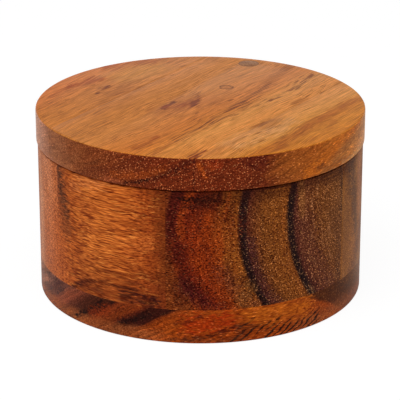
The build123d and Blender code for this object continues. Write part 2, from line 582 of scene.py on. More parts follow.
@dataclass(frozen=True)
class LidFaceWood(WoodFinish):
    """The lid's flat faces: tan-orange long grain."""

    name: str = "lid_wood_face"
    streak_contrast: float = 0.2
    broad_contrast: float = 0.16
    glint_share: float = 0.06
    tint_shift: Sequence[float] = (0.95, 1.15, 1.7)
    pore_band: Points = (
        (-8, -40), (-2, -29), (9.5, -12.2), (19, 6.8), (22.5, 17.7), (28.6, 34), (33, 47),
    )
    golden_streak: Points = ((-28, 34), (-20, 44))
    knot: tuple[float, float, float] = (9.6, 19.8, 0)
    knot_radius: float = 2.2
    far_tint: Rgb = (218, 148, 96)
    golden_tint: Rgb = (206, 138, 66)
    near_tint: Rgb = (206, 112, 24)
    knot_tint: Rgb = (146, 80, 40)
    knot_edge_tint: Rgb = (98, 42, 22)
    band_tint: Rgb = (164, 88, 28)
    sparse_pore_tint: Rgb = (122, 58, 18)
    thick_pore_tint: Rgb = (84, 22, 12)
    bands: Stops = (
        (-60, 210, 111, 43), (-50, 204, 115, 47), (-40, 197, 117, 47), (-30, 202, 122, 52),
        (-20, 197, 119, 47), (-8, 204, 127, 60), (1, 204, 123, 55), (8, 198, 114, 46), (12, 207, 122, 47),
        (18, 216, 142, 68), (27, 222, 141, 67), (31, 212, 135, 64), (37, 220, 146, 74), (43, 211, 137, 56),
        (46, 189, 109, 33), (52, 206, 128, 45), (60, 209, 124, 41),
    )
    marks: Marks = (
        Mark(((-36, -10), (-31, 14), (-26, 26)), 1.5, 7, (154, 84, 29), 0.4, 0.4),
        Mark(((-30, 12), (-26.5, 19)), 2, 4, (152, 84, 40), 0.5),
        Mark(((-38.6, 12.6), (-36.6, 17.4), (-34.5, 21.5)), 0.4, 1.3, (96, 30, 22), 0.9),
        Mark(((-47.6, 21.8), (-38.1, 30)), 1, 3, (160, 60, 18), 0.6, 0.4),
        Mark(((-55, 8), (-48, 22), (-41, 33)), 0.4, 1.8, (140, 52, 18), 0.6, 0.5),
        Mark(((-35, 45.5), (-16.3, 55.5)), 1, 5, (154, 55, 18), 0.6, 0.4),
        Mark(((-13.2, -6.4), (-11.8, -2.6), (-9.4, 2)), 0.7, 0.9, (78, 18, 20), 1, 0.15),
        Mark(((-11.4, -4.6), (-7, -3), (-3, -1)), 1.6, 2.4, (148, 64, 38), 0.75, 0.35),
        Mark(((-8.6, -1), (-3.4, 2.6)), 0.6, 2.4, (158, 78, 42), 0.7, 0.4),
        Mark(((-2.8, -1.6), (-1.4, 3)), 1.1, 1.2, (88, 24, 22), 0.95, 0.2),
        Mark(((-1.4, 3), (-0.6, 9.4)), 0.3, 1.1, (104, 38, 28), 0.9),
        Mark(((-14, -8), (2, 6)), 3, 7, (166, 88, 40), 0.4, 0.1),
        Mark(
            ((25.8, 3.7), (30.4, 12), (35.4, 18), (38.5, 27), (42.5, 36)),
            0.35, 0.9, (120, 50, 18), 0.85, 0.6,
        ),
        Mark(((34.6, 0.5), (38.4, 5)), 0.8, 2.2, (160, 88, 34), 0.7),
        Mark(((17.4, -32.6), (18.8, -27), (23, -22)), 0.6, 1.4, (130, 66, 19), 0.8),
        Mark(((20, -31.5), (27, -20)), 1.6, 3.5, (158, 92, 42), 0.7),
        Mark(((23.5, -31), (28, -24)), 0.3, 1, (130, 66, 26), 0.6),
        Mark(((9, -45), (14, -36), (19, -30)), 1.6, 3.4, (224, 156, 92), 0.6),
        Mark(((14, -47), (25, -32.5), (32, -20)), 1.2, 3.4, (218, 154, 94), 0.65),
        Mark(((26.5, -50), (34, -34), (43, -17), (55, 5)), 0.8, 2.6, (158, 76, 26), 0.52, 0.6),
        Mark(((33, -50), (41, -36), (48, -20)), 0.3, 1.6, (150, 70, 24), 0.42, 0.6),
        Mark(((-22, -49), (-15, -38)), 0.6, 1.8, (136, 52, 18), 0.65, 0.4),
        Mark(((-16, -56), (-10, -44)), 0.4, 1.4, (146, 58, 16), 0.5, 0.4),
        Mark(((4, -56), (14, -38), (20, -24)), 0.5, 2, (172, 94, 34), 0.4, 0.5),
        Mark(((-3.2, -59.5), (1.4, -52.2)), 0.8, 1.5, (104, 18, 12), 0.9),
        Mark(((32, 42), (34.5, 46)), 0.8, 2, (158, 84, 24), 0.6),
    )

    def pores(self, wood: WoodReadings) -> Value:
        """Long fine lines and shorter sharp ones."""
        fine = wood.uneven(1.5, 0.34, 11, 1, 0.8)
        return fine + wood.uneven(0.6, 0.42, 24, 1) + wood.uneven(0.35, 0.9, 34)

    def colour(self, wood: WoodReadings) -> Value:
        """Bands across the lid's strips, with knots, streaks and pore lines.

        Args:
            wood: The place in the wood.

        Returns:
            The colour.
        """
        paint = wood.paint
        flat = paint.vector(wood.x, wood.y)
        golden = paint.distance_to(flat, self.golden_streak)
        colour = paint.ramp(wood.fibre, self.bands)
        colour = paint.mix(((wood.y + 20) / 80).rises(0, 1) * 0.34, colour, self.far_tint)
        colour = paint.mix(golden.rises(13, 2) * 0.55, colour, self.golden_tint)
        colour = paint.mix(wood.y.rises(-34, -60) * 0.35, colour, self.near_tint)
        place = paint.pushed(flat, 0.8, 0.35)
        colour = wood.marked(colour, place, self.marks)
        colour = self._pore_lines(wood, place, colour)
        off_centre = paint.measure("DISTANCE", place, self.knot)
        ragged = paint.noise(flat, 1, scale=0.5)
        rim = abs(off_centre - self.knot_radius - (ragged - 0.5) * 1.6)
        colour = paint.mix(off_centre.rises(2.6, 0.8) * 0.4, colour, self.knot_tint)
        return paint.mix(rim.rises(0.65, 0.1) * ragged.rises(0.25, 0.6) * 0.85, colour, self.knot_edge_tint)

    def _pore_lines(self, wood: WoodReadings, place: Value, colour: Value) -> Value:
        """Adds the dark broken pore lines: thick in one band across the lid and sparse elsewhere.

        Args:
            wood: The place in the wood.
            place: The place on the face, pushed about.
            colour: The colour so far.

        Returns:
            The colour with the lines.
        """
        paint = wood.paint
        gap = paint.distance_to(place, self.pore_band)
        colour = paint.mix(gap.rises(5.5, 0.5) * 0.18, colour, self.band_tint)
        thick = wood.grain(0.42, 13, 0).rises(0.54, 0.62) * gap.rises(4.2, 0.8)
        crowd = wood.grain(9, 40, 1).rises(0.42, 0.62) * 0.6 + 0.2
        sparse = wood.grain(0.34, 6.5, 0).rises(0.62, 0.69) * crowd
        colour = paint.mix(sparse, colour, self.sparse_pore_tint)
        return paint.mix(thick * (0.3 + wood.y.rises(42, 8) * 0.58), colour, self.thick_pore_tint)


@dataclass(frozen=True)
class LidSideWood(WoodFinish):
    """The lid's side: dark end grain in front and lighter long grain to the right and left, with a painted
    pale sheen at the far right and left edges.
    """

    name: str = "lid_wood_side"
    # the pale stops round -90 and 90 paint the whitish sheen of the side's grazing edges; the other stops are
    # the wood's own colour
    bands: Stops = (
        (-180, 150, 90, 50), (-125, 156, 92, 54), (-90, 208, 160, 138), (-72, 190, 128, 98),
        (-60, 150, 90, 56), (-45, 130, 66, 32), (-32, 118, 52, 22), (-18, 108, 40, 16), (5, 108, 38, 14),
        (21, 106, 41, 17), (29, 146, 74, 27), (45, 164, 84, 26), (65, 192, 114, 46), (90, 220, 160, 106),
        (125, 156, 92, 50), (180, 150, 90, 50),
    )
    marks: Marks = (
        # painted highlight: a pale line along the lid's lower edge at the left
        Mark(((-68, 58.2), (-58, 58.4), (-50, 58)), 0.4, 2.2, (176, 104, 62), 0.5, 0.5),
        Mark(((-15, 62), (-8, 65), (-2, 68.5)), 0.5, 1.4, (70, 20, 12), 0.8),
        Mark(((-44, 57.5), (-30, 62), (-20, 67)), 0.7, 1.8, (92, 34, 18), 0.5, 0.4),
        Mark(((-30, 60.4), (-20, 61.6), (-12, 64.5)), 0.6, 1.8, (152, 66, 20), 0.55),
        Mark(((-31, 57), (-24, 58.4), (-18, 60.2)), 0.3, 0.7, (44, 12, 8), 0.9, 0.2),
        Mark(((-18, 60.2), (-12, 62.6), (-4, 65.6)), 0.2, 0.8, (58, 18, 10), 0.65, 0.4),
        Mark(((16, 68), (20, 67)), 1.4, 3.5, (80, 24, 15), 0.7),
        Mark(((-0.8, 67.2), (1.6, 62.4)), 0.6, 0.7, (158, 66, 18), 0.75, 0.2),
        Mark(((2, 68), (4, 65)), 0.4, 0.8, (150, 58, 18), 0.6, 0.2),
        Mark(((4.6, 67.6), (5.6, 66)), 0.8, 1.4, (138, 44, 14), 0.6, 0.2),
        Mark(((39, 58.5), (46, 62), (56, 67.5), (70, 69.5)), 1.4, 2.2, (200, 104, 28), 0.8, 0.2),
        Mark(((46, 57.5), (54, 61), (68, 65), (80, 67)), 1, 2.4, (158, 98, 50), 0.6),
        Mark(((42.5, 59.6), (45.5, 60.6)), 0.5, 0.9, (96, 48, 24), 0.7),
        # painted highlight: pale strokes along the lid's lower edge, at the right and at the front-left
        Mark(((57, 57.4), (70, 57.8), (82, 57.4)), 0.4, 1.8, (196, 146, 96), 0.5, 0.5),
        Mark(((-33, 58), (-27, 57.8)), 0.5, 1.2, (172, 84, 48), 0.5),
        # painted shade: a dark stroke along the top edge in front, which dims the edge's highlight there
        Mark(((-0.5, 68.9), (4.5, 68.4)), 0.5, 1, (104, 30, 12), 0.5, 0.2),
        Mark(((-2.1, 57.4), (-2.1, 69)), 0.12, 0.35, (52, 14, 10), 0.8, 0.2),
        Mark(((-62.3, 57), (-62.3, 69)), 0.1, 0.3, (90, 46, 28), 0.5, 0.2),
    )

    def pores(self, wood: WoodReadings) -> Value:
        """Stronger on the end grain in front than on the lighter wood round the rest."""
        contrast = 1.7 + wood.azimuth.within(-50, 26, 16) * 1.5
        return wood.uneven(contrast, self.pore_width, self.pore_length, 1, 0.6)

    def glints(self, wood: WoodReadings) -> Value:
        """Plenty from the front to the right and few on the left."""
        return 0.26 + wood.azimuth.within(-34, 26, 14) * 0.62

    def colour(self, wood: WoodReadings) -> Value:
        """Colours by azimuth, with slanting bands and dark lines.

        Args:
            wood: The place in the wood.

        Returns:
            The colour.
        """
        colour = wood.paint.ramp(wood.azimuth + wood.uneven(12, 5, 20), self.bands)
        side = wood.unrolled(0.8)
        colour = colour * (0.3 + wood.slanted(side, 20, 0.8, 11) * 1.4)
        return wood.marked_side(colour, side, self.marks)


@dataclass(frozen=True)
class OrangeWallWood(WoodFinish):
    """The rippled orange front strip of the wall."""

    name: str = "wall_wood_orange"
    pore_contrast: float = 3
    pore_length: float = 5.5
    ripple_height: float = 0.48
    glint_share: float = 0.1
    low_tint: Rgb = (122, 48, 18)
    ripple_tint: Rgb = (112, 36, 12)
    contour_tint: Rgb = (92, 28, 10)
    bright_tint: Rgb = (240, 148, 66)
    bands: Stops = (
        (-62, 186, 94, 44), (-56, 178, 88, 38), (-50, 178, 86, 32), (-44, 196, 102, 40),
        (-36, 200, 104, 40), (-26, 190, 94, 34), (-18, 156, 68, 22), (-13, 118, 50, 16), (-8, 98, 38, 14),
    )
    marks: Marks = (
        Mark(((-58.4, 56), (-55.6, 45), (-52.5, 34)), 2.6, 3.6, (118, 58, 28), 0.75, 0.2),
        Mark(((-58.5, 56), (-56, 49), (-52.5, 40)), 0.8, 2.4, (72, 40, 24), 0.75, 0.4),
        Mark(((-49.7, 27), (-49.7, 20.5)), 0.2, 0.5, (90, 34, 16), 0.6, 0.2),
        Mark(
            ((-50, 12.8), (-47, 15), (-43, 17.4), (-35, 19.3), (-23, 18.4), (-16, 15.6)),
            0.45, 1.1, (66, 20, 12), 0.8, 0.4,
        ),
        Mark(((-27, 15.6), (-15, 14.6)), 1.3, 1.6, (58, 18, 14), 0.85, 0.5),
        Mark(((-40, 24), (-30, 23), (-20, 20.5)), 0.3, 1.4, (96, 34, 14), 0.7, 0.6),
        Mark(((-46, 14), (-41, 15.8), (-36, 15)), 0.5, 1.4, (84, 34, 18), 0.6, 0.5),
        Mark(((-45, 38.5), (-38, 38)), 0.4, 1.2, (118, 38, 18), 0.5, 0.5),
        Mark(((-44, 43.5), (-40, 42)), 0.6, 1.6, (120, 40, 18), 0.5, 0.5),
        Mark(((-45, 47), (-39, 45.2)), 0.8, 2.6, (128, 46, 18), 0.45),
        Mark(((-46, 26.5), (-40, 25.5)), 1, 2.8, (118, 42, 16), 0.5),
        Mark(((-24, 26.5), (-18, 24)), 1, 2.6, (104, 36, 12), 0.5),
        Mark(((-23, 33.5), (-18, 37)), 1.4, 3, (212, 108, 44), 0.5),
        Mark(((-48, 51.5), (-44, 54.6), (-35, 56.2)), 1.3, 2.6, (222, 128, 66), 0.55),
    )

    def colour(self, wood: WoodReadings) -> Value:
        """Orange that darkens to both ends, crossed by fine level ripples.

        Args:
            wood: The place in the wood.

        Returns:
            The colour.
        """
        paint = wood.paint
        colour = paint.ramp(wood.azimuth + wood.uneven(8, 5, 20), self.bands)
        low = wood.z.rises(28, 14) * wood.azimuth.rises(-52, -44)
        colour = paint.mix(low * 0.75, colour, self.low_tint)
        area = wood.azimuth.within(-52, -14, 4) * (1 - low * 0.5)
        wave = (paint.noise(paint.vector(wood.along / 9, wood.z / 12), 1) - 0.5) * 3.6
        crest = paint.vector(wood.along / 6.4, (wood.z + wave) / self.ripple_height, wood.across / 6)
        ripples = paint.noise(crest, 1, 0.6).rises(0.53, 0.63)
        contour = abs(paint.noise(crest * (0.36, 0.34, 1), 1) - 0.5).rises(0.04, 0.01)
        bright = paint.noise(crest + (7.3, 1.9, 0), 1).rises(0.56, 0.7)
        colour = paint.mix(ripples * area * 0.75, colour, self.ripple_tint)
        colour = paint.mix(contour * area * ripples.rises(-0.2, 0.6) * 0.8, colour, self.contour_tint)
        colour = paint.mix(bright * area * 0.4, colour, self.bright_tint)
        return self.under_lid(wood, wood.marked_side(colour, wood.unrolled(0.9), self.marks))


@dataclass(frozen=True)
class DarkWallWood(WoodFinish):
    """The middle strip of the wall: dark end grain with black growth rings."""

    name: str = "wall_wood_dark"
    pore_contrast: float = 3.3
    pith: Point = (30, 45.6)
    pale_tint: Rgb = (150, 98, 62)
    flame_tint: Rgb = (160, 62, 14)
    shadow_tint: Rgb = (66, 16, 10)
    deep_tan: Rgb = (184, 108, 66)
    light_tan: Rgb = (206, 134, 92)
    warm_tan: Rgb = (184, 90, 38)
    bands: Stops = (
        (0, 122, 74, 38), (34, 115, 64, 26), (42, 106, 55, 20), (48, 100, 50, 24), (51.8, 82, 37, 26),
        (53, 36, 18, 16), (54.9, 30, 15, 13), (55.6, 124, 64, 22), (59, 122, 64, 21), (63.5, 113, 59, 21),
        (66, 102, 50, 22), (67.8, 78, 33, 20), (68.5, 36, 18, 16), (70.2, 32, 15, 13), (70.9, 128, 66, 20),
        (74.5, 126, 62, 18), (77.5, 126, 46, 10), (80.6, 118, 37, 9), (82.4, 86, 22, 10),
        (84.6, 70, 18, 10), (85.4, 106, 44, 14), (88, 114, 50, 16), (110, 138, 60, 22),
    )
    marks: Marks = (
        Mark(((-4, 52), (3, 52.6)), 0.4, 4.6, (56, 12, 8), 0.75, 0),
        Mark(((-7, 54.2), (-1, 53.6), (6, 54)), 0.5, 1, (26, 6, 5), 0.9),
        Mark(((-5, 51.2), (0, 51.6), (5, 51)), 0.2, 0.9, (36, 8, 6), 0.75, 0.4),
        Mark(((0, 30), (6, 44)), 3, 8, (128, 42, 9), 0.35, 0.1),
        Mark(((7, 53.6), (9.4, 51.6), (8.6, 47.4)), 0.9, 2.4, (62, 10, 4), 0.65, 0.2),
        Mark(((1, 36), (3, 30)), 1, 3, (84, 18, 5), 0.45),
        Mark(((15, 23.5), (18.4, 19.8)), 1, 2.4, (48, 18, 12), 0.5),
        Mark(((7, 27), (13, 19), (19, 13)), 1, 3.4, (92, 42, 28), 0.6, 0.5),
        Mark(((17.2, 38), (18.6, 28), (23, 18), (28, 12)), 0.8, 2.4, (60, 28, 30), 0.7, 0.4),
        Mark(((-6, 22), (-1, 17), (6, 12.4)), 1.4, 2.6, (66, 17, 16), 0.7, 0.4),
        Mark(((14, 15.5), (17, 20)), 1.2, 2.6, (104, 62, 26), 0.5),
        Mark(((35.8, 56), (36.6, 44)), 0.8, 1.4, (150, 92, 44), 0.6),
        Mark(((38, 41), (42, 28), (50, 15)), 1, 6, (80, 36, 31), 0.55),
        Mark(((53, 40), (57, 26)), 1.5, 4, (84, 44, 20), 0.5, 0.2),
        Mark(((56.6, 56), (57.4, 40)), 0.5, 1.2, (46, 26, 14), 0.7, 0.4),
        Mark(((55.6, 22), (56.6, 13.5)), 0.8, 2, (56, 26, 14), 0.5),
    )

    def pores(self, wood: WoodReadings) -> Value:
        """Weaker on the smooth tan wood at the left."""
        calm = 1 - self._left(wood) * 0.35
        return wood.uneven(self.pore_contrast, self.pore_width, self.pore_length, 0) * calm

    def glints(self, wood: WoodReadings) -> Value:
        """Few in the red part and more to the right, except just under the lid.

        Args:
            wood: The place in the wood.

        Returns:
            Their strength.
        """
        share = 0.3 + wood.azimuth.rises(2, 20) * 0.4 + wood.azimuth.rises(33, 40) * 0.5
        share = share * wood.z.rises(56, 50) * (1 - self._left(wood) * 0.8)
        return share + wood.along.rises(40, 58) * 0.3

    @staticmethod
    def _left(wood: WoodReadings) -> Value:
        """Share of the smooth tan wood at the left, which fades out towards the end grain at the back."""
        return wood.along.rises(-10, 18) * wood.along.rises(60, 38)

    def colour(self, wood: WoodReadings) -> Value:
        """Growth rings about the pith, with a red part in front and tan wood at the left.

        Args:
            wood: The place in the wood.

        Returns:
            The colour.
        """
        paint = wood.paint
        wander = wood.uneven(0.6, 9, 60, 1) + wood.uneven(1.2, 0.5, 4, 1)
        ring = wood.ring(self.pith, wander + (wood.z - 35) * 0.025)
        colour = paint.ramp(ring, self.bands)
        streaks = wood.flow(ring, 1, 12)
        pale = streaks.rises(0.05, 0.2) * wood.azimuth.within(38, 56, 3) * 0.4
        colour = paint.mix(pale, colour * (1 + streaks * 0.9), self.pale_tint)
        red = wood.azimuth.within(-9, 11, 4)
        flame = wood.flow(ring, 2.6, 20, 2)
        colour = paint.mix(flame.rises(0, 0.14) * red * 0.5, colour, self.flame_tint)
        colour = paint.mix(flame.rises(-0.02, -0.14) * red * 0.5, colour, self.shadow_tint)
        level = paint.noise(paint.vector(wood.azimuth * 0.12, wood.z / 0.7))
        crossed = red * wood.z.rises(26, 44)
        colour = colour * (1 + (level - 0.5) * crossed * 1.3)
        colour = paint.mix(self._left(wood), colour, self._tan(wood))
        colour = wood.marked_side(colour, wood.unrolled(0.7), self.marks, 0.6, 0.14)
        return self.under_lid(wood, colour)

    def _tan(self, wood: WoodReadings) -> Value:
        """Colour of the tan wood at the left, warmer near the orange strip.

        Args:
            wood: The place in the wood.

        Returns:
            The colour.
        """
        paint = wood.paint
        bands = paint.noise(paint.vector(wood.azimuth * 0.18 + wood.z * 0.03, wood.z * 0.03))
        tan = paint.mix(bands.rises(0.35, 0.65), self.deep_tan, self.light_tan)
        near = wood.azimuth.within(-70, -50, 9) * (0.5 + wood.z.rises(48, 30) * 0.3)
        return paint.mix(near, tan, self.warm_tan)


@dataclass(frozen=True)
class BrownWallWood(WoodFinish):
    """The right and back strip of the wall: light brown."""

    name: str = "wall_wood_brown"
    pith: Point = (60, -20)
    bands: Stops = (
        (20, 150, 94, 54), (34, 118, 70, 40), (40, 146, 92, 54), (52, 150, 98, 58), (58, 124, 76, 46),
        (64, 158, 98, 50), (76, 126, 74, 32), (84, 150, 93, 45), (96, 113, 61, 27), (120, 140, 84, 46),
    )
    marks: Marks = (
        Mark(((61.5, 56), (63, 44)), 1.4, 2.6, (92, 54, 32), 0.7, 0.2),
        Mark(((60, 40), (63, 14)), 2, 4, (134, 82, 42), 0.8, 0.1),
        Mark(((65, 56), (68, 42), (71, 28)), 1.6, 2.6, (88, 60, 44), 0.75, 0.2),
        Mark(((74, 54), (75, 36)), 1.6, 2.6, (176, 108, 62), 0.7, 0.2),
    )

    def colour(self, wood: WoodReadings) -> Value:
        """Tan with a greyish streak."""
        colour = wood.paint.ramp(wood.ring(self.pith, wood.uneven(6, 6, 40)), self.bands)
        return self.under_lid(wood, wood.marked_side(colour, wood.unrolled(0.9), self.marks))


@dataclass(frozen=True)
class BaseWood(WoodFinish):
    """Orange and dark growth rings about a pith high above the base."""

    name: str = "base_wood"
    pith: Point = (-32.4, 87.6)
    orange_ring: float = 115.2
    dash_spacing: float = 3.1
    dash_lean: float = 1.4
    rubbed_tint: Rgb = (160, 84, 42)
    fleck_tint: Rgb = (78, 26, 10)
    dash_tint: Rgb = (50, 22, 13)
    outer_bands: Stops = (
        (115.6, 146, 60, 15), (119, 156, 66, 14), (126, 150, 60, 13), (140, 140, 54, 14),
    )
    left_bands: Stops = (
        (60, 150, 88, 54), (76, 142, 80, 46), (81, 158, 96, 60), (84, 124, 72, 50), (87, 158, 98, 72),
        (90, 96, 52, 40), (93, 110, 60, 44), (95.5, 146, 72, 46), (98, 116, 54, 34), (100, 76, 32, 18),
        (103.6, 66, 27, 14), (105, 44, 15, 10), (106, 122, 48, 18), (109.5, 134, 54, 18),
        (110.8, 82, 28, 14), (111.6, 52, 17, 10), (114.6, 54, 18, 11),
    )
    right_bands: Stops = (
        (60, 150, 92, 54), (80, 140, 84, 50), (86, 156, 100, 64), (92, 134, 88, 58), (98, 130, 84, 54),
        (104, 98, 56, 28), (109, 82, 40, 14), (114.6, 84, 38, 12),
    )
    marks: Marks = (
        Mark(((-4, 7.2), (2, 7.8), (9, 8.2)), 1.8, 3.2, (160, 42, 6), 0.75, 0.2),
        Mark(((18, 10), (38, 9)), 2, 4, (182, 90, 20), 0.75, 0.1),
        Mark(((-8.4, 7.2), (-4, 8.6), (0.6, 10.4)), 0.3, 0.6, (56, 14, 8), 0.8, 0.4),
        Mark(((-5, 2), (1, 2.7), (7, 4.2), (12, 6.6), (17.5, 6.3)), 0.3, 0.7, (66, 22, 10), 0.8),
        Mark(((-10, 1.6), (8, 1.2), (16, 1.8)), 0.3, 0.8, (96, 46, 24), 0.6, 0.4),
        Mark(((-7.5, 3.6), (-3, 4)), 0.2, 0.5, (80, 30, 14), 0.6),
        Mark(((13, 4.2), (19, 5.4)), 0.7, 1.4, (76, 30, 14), 0.6),
        Mark(((-36, 11.5), (-41, 7), (-48, 2.5)), 0.4, 0.7, (26, 9, 7), 0.95, 0.2),
        Mark(((-60, 11.8), (-68, 10.6)), 0.9, 1.8, (62, 30, 30), 0.8),
        Mark(((-18, 9.8), (-23, 7.8), (-28, 5.8)), 0.5, 1.4, (32, 12, 10), 0.85),
        Mark(((-34, 9), (-40, 6)), 0.8, 2, (142, 50, 16), 0.6, 0.4),
        Mark(((-56, 10.6), (-60, 7)), 0.5, 1.2, (60, 36, 34), 0.7),
    )

    def glints(self, wood: WoodReadings) -> Value:
        """Fewer on the bowl's floor than on the side."""
        return 0.06 + wood.radius.rises(46, 50) * (0.06 + wood.azimuth.rises(-20, 0) * 0.14)

    def colour(self, wood: WoodReadings) -> Value:
        """Growth rings, paler near the foot, with flecks, dashes and marks on the side only.

        Args:
            wood: The place in the wood.

        Returns:
            The colour.
        """
        paint = wood.paint
        ring = wood.ring(self.pith, wood.uneven(2.4, 5, 40))
        left = paint.ramp(ring, (*self.left_bands, *self.outer_bands))
        right = paint.ramp(ring, (*self.right_bands, *self.outer_bands))
        rings = paint.mix(wood.along.rises(-10, 10), left, right)
        # paler towards the foot, to the left and right of the front
        foot_share = wood.z.rises(6.4, 2.4) * wood.azimuth.within(-80, -14, 7)
        foot_share = foot_share + wood.z.rises(8, 2) * wood.azimuth.within(34, 85, 8) * 0.8
        colour = paint.mix(foot_share * (0.3 + wood.grain(2, 9) * 0.8), rings, self.rubbed_tint)
        orange = ring.rises(self.orange_ring, self.orange_ring + 1.2)
        flecks = wood.slanted(wood.unrolled(0.3), 14, 0.34, 3.4).rises(0.6, 0.68)
        colour = paint.mix(flecks * orange * 0.7, colour, self.fleck_tint)
        colour = paint.mix(self._comb(wood) * orange, colour, self.dash_tint)
        ragged = wood.flow(ring, 0.7, 11, 2) * (0.4 + wood.azimuth.rises(2, -14) * 1.6)
        colour = wood.marked_side(colour, wood.unrolled(0.7), self.marks) * (1 + ragged)
        return paint.mix(wood.radius.rises(55, 58), rings, colour)

    def _comb(self, wood: WoodReadings) -> Value:
        """Row of dark slanting dashes near the foot.

        Args:
            wood: The place in the wood.

        Returns:
            How strongly the dashes show.
        """
        paint = wood.paint
        bent = wood.arc - wood.z * self.dash_lean + wood.uneven(5, 3.2, 14)
        wave = paint.maths("SINE", bent * (math.tau / self.dash_spacing))
        kept = paint.noise(paint.vector(bent / self.dash_spacing, 3), 0, scale=1.1)
        reach = (wood.z + (kept - 0.5) * 12).within(1.2, 6.4, 0.8)
        return wave.rises(0.1, 0.6) * reach * wood.azimuth.within(8, 46, 3)


@dataclass(frozen=True)
class PlugWood(WoodFinish):
    """Grey-brown plug that covers the screw, with its own growth rings across it."""

    name: str = "plug_wood"
    pore_contrast: float = 1.2
    pore_length: float = 3
    streak_contrast: float = 0.3
    glint_share: float = 0.05
    centre: Point = (18.649, 50.145)
    edge: float = 3.975
    blot_tint: Rgb = (124, 90, 68)
    rim_tint: Rgb = (74, 42, 24)
    bands: Stops = (
        (0.25, 124, 80, 54), (0.45, 150, 102, 70), (0.58, 164, 116, 82), (0.75, 140, 96, 66),
    )

    def colour(self, wood: WoodReadings) -> Value:
        """Soft bands across the plug and a dark line round its edge.

        Args:
            wood: The place in the wood.

        Returns:
            The colour.
        """
        paint = wood.paint
        x = wood.x - self.centre[0]
        y = wood.y - self.centre[1]
        place = paint.vector((x * 0.3 + y) * 0.5, (y * 0.3 - x) * 0.14)
        colour = paint.ramp(paint.noise(place, 2, 0.6), self.bands)
        blot = paint.noise(paint.vector(x, y), 1, scale=0.6).rises(0.52, 0.7)
        colour = paint.mix(blot * 0.4, colour, self.blot_tint)
        rim = span(x, y).rises(self.edge - 0.55, self.edge - 0.05)
        return paint.mix(rim * 0.4, colour, self.rim_tint)


@dataclass(frozen=True)
class HardwareFinish:
    """Turned or moulded hardware, with tool marks round an upright axis, scratches, stains and specks."""

    name: str
    clean: Rgb
    stained: Rgb
    metallic: float
    roughness: float
    turned_lines: float
    stain_share: float
    relief: float = 0.02 * MM

    def build(self, centre: Point) -> Material:
        """Makes the material for pieces whose axis stands at a centre.

        Args:
            centre: Where the axis stands.

        Returns:
            The material.
        """
        paint = Paint.named(self.name)
        place = paint.place() - (centre[0] / MM, centre[1] / MM, 0)
        x, y, z = paint.split(place)
        radius = span(x, y)
        lines = paint.noise(paint.vector(radius * 9, z * 9), 2, 0.7)
        scratches = paint.noise(place * (0.9, 0.9, 3), 3, 0.8, 2.2).rises(0.6, 0.66)
        stains = paint.noise(place, 4, 0.65, 0.7).rises(0.42, 0.68)
        specks = paint.noise(place, 1, scale=6.5).rises(0.62, 0.74)
        colour = paint.mix(stains * self.stain_share, self.clean, self.stained)
        colour = paint.mix(specks * 0.25, colour, self.stained)
        colour = colour * (1 + (lines - 0.5) * (0.5 * self.turned_lines))
        lined = self.roughness + (lines - 0.5) * (0.3 * self.turned_lines)
        roughness = (lined + stains * 0.18 - scratches * 0.06).at_least(0.08)
        height = lines * self.turned_lines + stains * 0.2 - scratches * 0.3 + 0.3
        return paint.surface(colour, roughness, height, self.relief, Metallic=self.metallic)


STEEL = HardwareFinish("steel", (168, 170, 172), (112, 109, 106), 1, 0.28, 0.4, 0.35)
BRASS = HardwareFinish("brass", (188, 148, 78), (124, 86, 42), 1, 0.3, 0.6, 0.45)
NYLON = HardwareFinish("nylon", (226, 221, 208), (196, 186, 166), 0, 0.5, 0.25, 0.5)
PLATING = HardwareFinish("magnet_plating", (168, 166, 160), (120, 116, 108), 1, 0.24, 0.2, 0.4)


# Modelling


class Element(Enum):
    """What a selection is made of."""

    EDGES = "EDGE"
    FACES = "FACE"


def fresh() -> None:
    """Deselects everything, so that the next step acts on its own piece only."""
    bpy.ops.object.select_all(action="DESELECT")


def activate(piece: Piece) -> None:
    """Makes a piece the only selected and active one.

    Args:
        piece: The piece.
    """
    fresh()
    piece.select_set(True)
    bpy.context.view_layer.objects.active = piece


def shown(piece: Piece) -> Piece:
    """Puts a new object into the scene and gives it back."""
    bpy.context.scene.collection.objects.link(piece)
    return piece


@contextmanager
def editing(piece: Piece) -> Iterator[None]:
    """Opens a piece in edit mode for the steps inside the block.

    Args:
        piece: The piece.

    Yields:
        Nothing.
    """
    activate(piece)
    bpy.ops.object.mode_set(mode="EDIT")
    yield
    bpy.ops.object.mode_set(mode="OBJECT")


def pick(element: Element, test: Callable) -> None:
    """Selects the open mesh's edges or faces that pass a test, and nothing else.

    Args:
        element: Whether edges or faces are meant.
        test: Says of an edge or face whether it is selected.
    """
    bpy.ops.mesh.select_mode(type=element.value)
    bpy.ops.mesh.select_all(action="DESELECT")
    shape = bmesh.from_edit_mesh(bpy.context.edit_object.data)
    for item in shape.edges if element is Element.EDGES else shape.faces:
        item.select_set(test(item))
    bmesh.update_edit_mesh(bpy.context.edit_object.data)


def ring_at(level: float, radius: float, centre: Point) -> Callable:
    """Test for the edges of a circle at a level and radius.

    Args:
        level: Height of the circle.
        radius: Its radius.
        centre: Where its axis stands.

    Returns:
        The test.
    """

    def test(edge: bmesh.types.BMEdge) -> bool:
        """True if both ends of the edge lie on the circle."""
        return all(
            abs(end.co.z - level) < LEVEL_TOLERANCE
            and abs(math.hypot(end.co.x - centre[0], end.co.y - centre[1]) - radius) < RADIUS_TOLERANCE
            for end in edge.verts
        )

    return test


